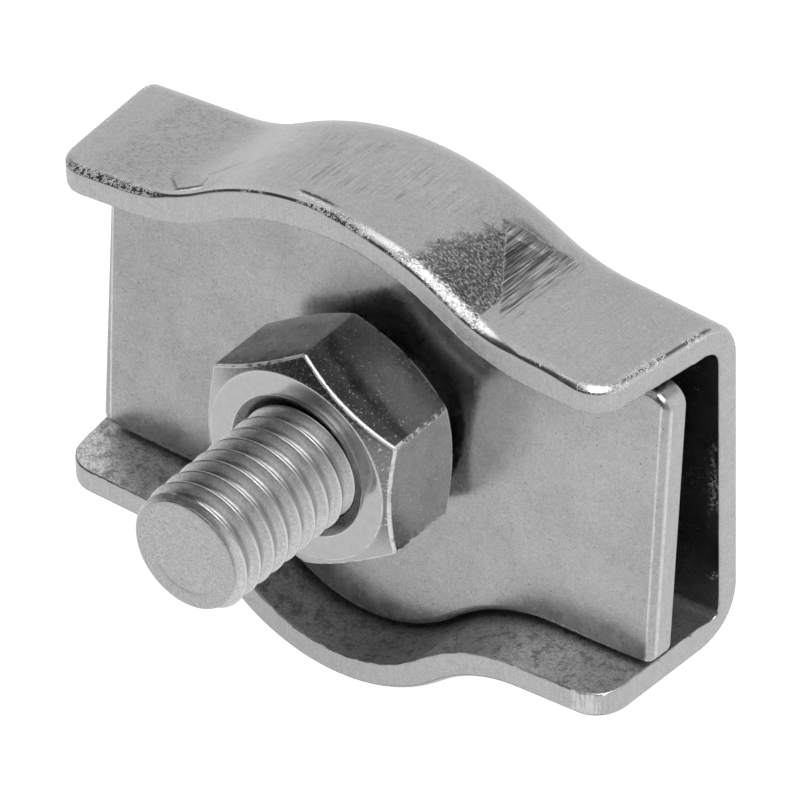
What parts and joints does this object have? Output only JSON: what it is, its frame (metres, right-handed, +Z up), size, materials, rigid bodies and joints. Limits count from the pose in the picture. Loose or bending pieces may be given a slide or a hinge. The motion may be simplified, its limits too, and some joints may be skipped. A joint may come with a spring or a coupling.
{
  "type": "wire rope clip",
  "caption": "Folded stainless channel with bulged flanges; a nut on a through bolt drives a flat plate that clamps two rope strands against the web.",
  "frame": {"origin": "centre of the bolt head's end face, on the bolt's axis", "axes": "+X along the rope, -Y along the bolt from its head to its threaded end, +Z up across the two rope strands"},
  "size_m": [0.0411, 0.0302, 0.0329],
  "materials": {
    "housing": "satin stainless, fine lines across the flanges, sheared edges left raw",
    "bolt": "bright stainless, rolled thread",
    "plate": "satin stainless with fine pits, rolled front edge",
    "nut": "bright stainless, mirror-like flats"
  },
  "bodies": {
    "housing": {"housing": "housing", "hex_bolt": "bolt"},
    "plate": {"pressure_plate": "plate"},
    "nut": {"hex_nut": "nut"}
  },
  "joints": [
    {"name": "plate_travel", "type": "slide", "parent": "housing", "child": "plate", "axis": [0, 1, 0], "range_m": [-0.0055, 0.002]},
    {"name": "nut_spin", "type": "hinge", "parent": "plate", "child": "nut", "pos_m": [0, -0.0137, 0], "axis": [0, 1, 0], "range_deg": [-1590, 580]}
  ],
  "couplings": [
    {"joint": "nut_spin", "follows": "plate_travel", "rad_per_m": 5026.5}
  ]
}
